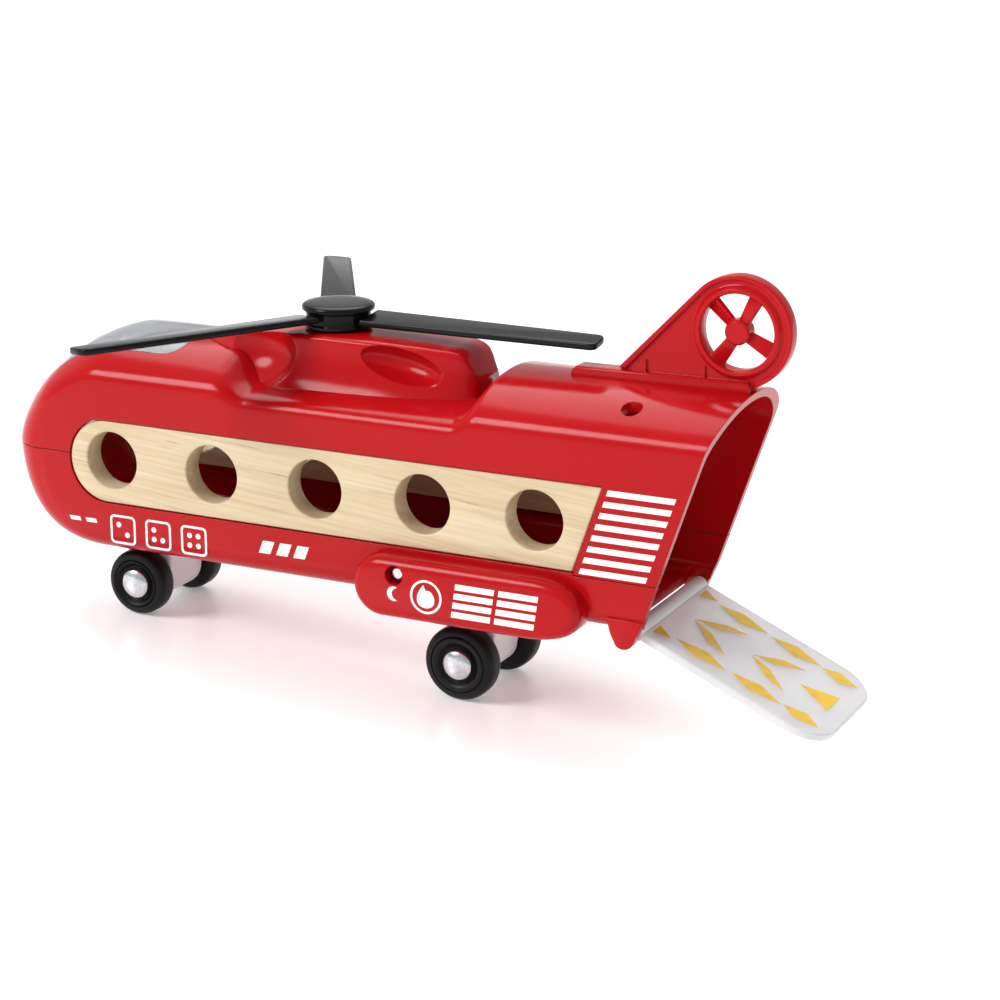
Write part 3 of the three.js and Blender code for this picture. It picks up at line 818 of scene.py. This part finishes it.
def cap_profile():
    """The same for the domed cap in the tyre's middle."""
    outer = WHEEL_OUTER
    dome = [
        (5.6 * math.cos(angle), outer - 0.5 + 2 * math.sin(angle))
        for angle in (math.pi / 2 * i / 14 for i in range(15))
    ]
    return [(0, outer - 1.7), (5.6, outer - 1.7)] + dome[:-1] + [(0, outer + 1.5)]


# ---------------------------------------------------------------- ramp


PRINT_THICKNESS = 0.06


def make_ramp():
    turn = Matrix.Translation(RAMP_HINGE) @ Matrix.Rotation(RAMP_OPEN, 4, "Y")
    flat = Matrix.Rotation(-math.pi / 2, 4, "X")
    half, length, corner, thickness, bore_radius = 28.6, 72, 14, 3, 1.8
    outline = [(0, -half)]
    outline += arc(length - corner, corner - half, corner, -math.pi / 2, 0, 20)
    outline += arc(length - corner, half - corner, corner, 0, math.pi / 2, 20)
    outline += [(0, half)]
    sheet = slab("sheet", [outline], 0, thickness, 0.7, turn @ flat)
    barrel = turned("barrel", [
        (bore_radius, -half), (2.6, -half), (3, -half + 0.4), (3, half - 0.4), (2.6, half),
        (bore_radius, half),
    ], "Y", RAMP_HINGE, 48)
    bore = rod(bore_radius, RAMP_HINGE.x, RAMP_HINGE.z, -40, 40)
    panel = combine("DIFFERENCE", combine("UNION", sheet, barrel), bore)
    panel.name = "ramp_sheet"
    finished(panel, FROSTED, "ramp", ["ramp_panel"], 40)
    lift = (thickness + PRINT_THICKNESS) / 2
    for level, face in (("upper", lift), ("lower", -lift)):
        marks = []
        for shape in ramp_shapes():
            at_face = turn @ Matrix.Translation((0, 0, face)) @ flat
            marks.append(slab("mark", [shape], 0, PRINT_THICKNESS, 0, at_face))
        finished(joined(f"ramp_{level}_print", marks), YELLOW_INK, "ramp")


def ramp_shapes():
    """Long slanted diamonds down both sides, arrow pairs down the middle, an arrowhead at the end."""
    shapes = []
    for along, half in ((21, 10), (42.5, 10), (60, 7)):
        for side in (-1, 1):
            across = side * 19.5
            shapes.append([
                (along - half, across - side * 0.5), (along - 1, across + side * 3.8),
                (along + half, across + side * 0.5), (along + 1, across - side * 3.8),
            ])
    for side in (-1, 1):
        shapes.append([(4, side * 17), (4, side * 24), (10, side * 21)])
    for along in (18, 41):
        for side in (-1, 1):
            shapes.append([
                (along - 8, side * 0.3), (along + 1, side * 9), (along + 9, side * 11),
                (along, side * 2.6),
            ])
    shapes.append([(52, 0), (65, 6.5), (65, -6.5)])
    return shapes


# ---------------------------------------------------------------- printed marks

PRINT_LIFT = 0.02

def side_mark(name, shapes, side, surface):
    """Flat white shapes printed on a side face that lies surface away from the hull's middle."""
    marks = [slab("mark", shape, side * (surface + PRINT_LIFT), PRINT_THICKNESS) for shape in shapes]
    finished(joined(name, marks), WHITE_INK, "airframe")


def bar(x0, x1, z, height, lean=0.0):
    """A bar from x0 to x1 at height z, with its ends slanted by lean."""
    low, high, shift = z - height / 2, z + height / 2, lean * height / 2
    return [(x0 - shift, low), (x1 - shift, low), (x1 + shift, high), (x0 + shift, high)]


def rounded_square(x, z, half, radius):
    points = []
    for quarter in range(4):
        start = math.pi / 2 * quarter
        cx = x + (half - radius) * (1 if quarter in (0, 3) else -1)
        cz = z + (half - radius) * (1 if quarter in (0, 1) else -1)
        points += arc(cx, cz, radius, start, start + math.pi / 2, 6)
    return points


SQUARES_X, SQUARES_Z = (3.9, 19, 34.1), -25.4
PIPS = [(-1.8, 1.8), (1.8, -1.8), (-1.8, -1.8), (1.8, 1.8)]


def make_marks():
    for label, side in SIDES.items():
        stripes = [
            [bar(190 + REAR_SLOPE * z, 214 + REAR_SLOPE * z, z, 2, REAR_SLOPE)]
            for z in (13 - 4 * i for i in range(8))
        ]
        side_mark(f"{label}_tail_stripes", stripes, side, HALF_WIDTH)
        frames = [
            [rounded_square(x, SQUARES_Z, 5.4, 1.8), rounded_square(x, SQUARES_Z, 4.6, 1.2)]
            for x in SQUARES_X
        ]
        pips = [
            [circle(x + dx, SQUARES_Z + dz, 1)]
            for x, spread in zip(SQUARES_X, (1, 2, 3))
            for dx, dz in PIPS[:spread + 1]
        ]
        side_mark(f"{label}_square_marks", frames + pips, side, HALF_WIDTH)
        dashes = [[bar(x, x + 4.5, -23.5, 1.5, -0.4)] for x in (-19, -12)]
        dashes += [[bar(x, x + 4.6, -23.6, 4.6, 0.4)] for x in (62, 69, 76)]
        side_mark(f"{label}_dash_marks", dashes, side, HALF_WIDTH)
        grille = [
            [bar(column - 0.5 * row, column + 14.6 - 0.5 * row, -24.6 - 3.3 * row, 2.1, 0.15)]
            for column in (142.4, 158.6) for row in range(4)
        ]
        side_mark(f"{label}_pod_grille", grille, side, SPONSON_OUTER)
        ring = [circle(131.3, -29.8, 6), circle(131.3, -29.8, 5.2)]
        moon = arc(119, -30.4, 2.6, 1.2, 5.1, 16) + arc(120.4, -30.4, 2.2, 4.6, 1.7, 16)
        side_mark(f"{label}_pod_emblem", [ring, [flame()], [moon]], side, SPONSON_OUTER)


def flame():
    """A plain drop with a forked top."""
    left = quadratic((131.3, -33.8), (127.2, -33.6), (128, -29.6), 8)
    left += quadratic((128, -29.6), (128.6, -27.8), (130.4, -25.6), 6)[1:]
    right = quadratic((131.2, -27.6), (133.2, -26.8), (134.4, -29.6), 6)
    right += quadratic((134.4, -29.6), (135.2, -33.4), (131.3, -33.8), 8)[1:-1]
    return left + right


make_shells()
make_side_panels()
make_pylon()
make_rotor()
make_tail_fin()
make_sponsons()
make_wheels()
make_ramp()
make_marks()


# ---------------------------------------------------------------- CAD nodes that stay

KEPT = {
    "mast_bushing": GREY, "front_axle_block": GREY, "rear_axle_block": GREY,
    "rotor_shaft": STEEL, "shaft_clip": STEEL, "ramp_hinge_pin": STEEL,
    "front_axle": STEEL, "rear_axle": STEEL,
    "left_roof_screw": STEEL, "right_roof_screw": STEEL,
    "left_sponson_screw": STEEL, "right_sponson_screw": STEEL,
    "front_block_screw": STEEL, "rear_block_screw": STEEL,
}
for node, material in KEPT.items():
    kept = frame["nodes"][node]
    kept.data.materials.clear()
    kept.data.materials.append(material)


# ---------------------------------------------------------------- floor, light and background


FLOOR_GLOW, WORLD_STRENGTH = 0.2, 0.6


def make_floor():
    finish = Finish("pale_floor", 0.3)
    tone = finish.noise(3, detail=2)
    finish.color(finish.ramp(tone, [(0.2, srgb(251, 251, 252)), (0.8, srgb(253, 253, 253))]))
    finish.roughness(finish.spread(tone, 0.22, 0.3))
    finish.shader.inputs["Emission Color"].default_value = (1, 1, 1, 1)
    finish.shader.inputs["Emission Strength"].default_value = FLOOR_GLOW
    reach = 40
    corners = [(-reach, -reach, 0), (reach, -reach, 0), (reach, reach, 0), (-reach, reach, 0)]
    floor = mesh_object("floor", corners, [(0, 1, 2, 3)])
    floor.data.materials.append(finish.material)


def softbox(name, towards, strength, width):
    """A far round softbox in the direction towards, as wide as the angle width in degrees."""
    data = bpy.data.lights.new(name, "SUN")
    data.energy = strength
    data.angle = math.radians(width)
    light = add_object(name, data)
    light.rotation_euler = Vector(towards).to_track_quat("Z", "Y").to_euler()


def make_light():
    world = bpy.data.worlds.new("studio")
    bpy.context.scene.world = world
    world.use_nodes = True
    background = world.node_tree.nodes["Background"]
    background.inputs["Color"].default_value = (1, 1, 1, 1)
    background.inputs["Strength"].default_value = WORLD_STRENGTH
    softbox("top_softbox", (-0.3, 0.45, 0.85), 1.6, 50)
    softbox("key_softbox", (-0.55, -0.63, 0.56), 2.2, 26)
    bpy.context.scene.view_settings.view_transform = "Standard"


make_floor()
make_light()
